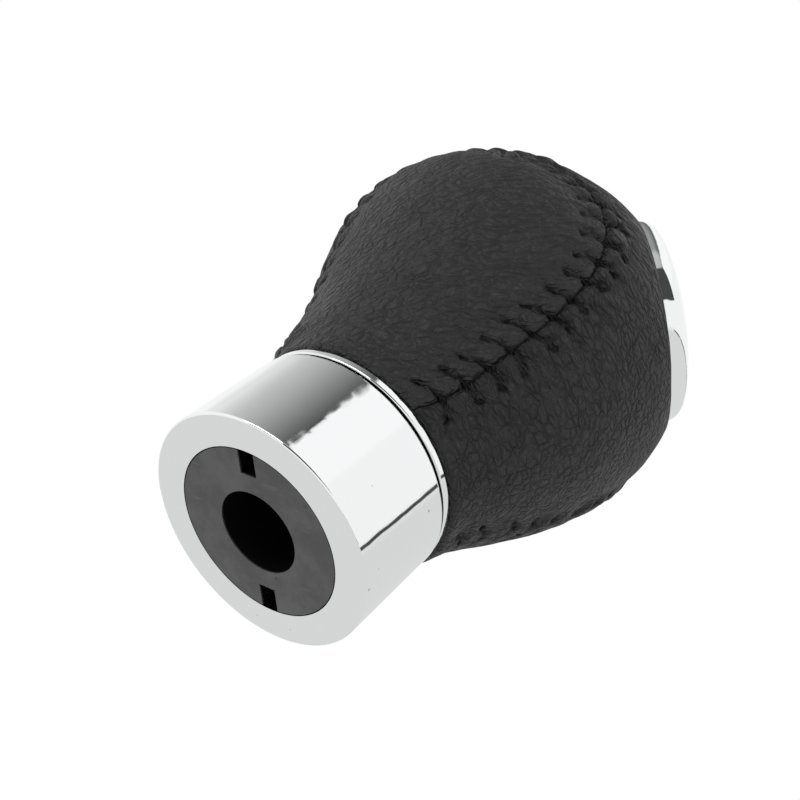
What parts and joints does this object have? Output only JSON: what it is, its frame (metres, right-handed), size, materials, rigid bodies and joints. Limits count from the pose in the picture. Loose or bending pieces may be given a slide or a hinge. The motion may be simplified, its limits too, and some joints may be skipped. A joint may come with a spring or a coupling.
{
  "type": "gear shift knob",
  "caption": "Pear shaped gear shift knob covered in stitched black leather, with a bright collar round the lever bore and a bright domed end cap facing the driver.",
  "frame": {"origin": "centre of the lever bore's mouth, on the flat end of the collar that the knob stands on", "axes": "+Z along the lever axis up into the knob, -Y towards the driver, the way the cap faces, X to the sides"},
  "size_m": [0.0518, 0.0518, 0.0729],
  "materials": {
    "leather": "pebbled black leather with a soft sheen",
    "thread": "black bonded sewing thread",
    "chrome": "bright plated, mirror smooth",
    "black_plastic": "satin moulded black",
    "foam": "hidden moulded foam"
  },
  "bodies": {
    "root": {"hub_insert": "black_plastic", "foam_body": "foam", "left_leather_panel": "leather", "right_leather_panel": "leather", "centre_leather_band": "leather", "left_seam_thread": "thread", "right_seam_thread": "thread", "chrome_collar": "chrome", "trim_ring": "chrome", "cap_base": "black_plastic", "chrome_cap": "chrome"}
  },
  "joints": []
}
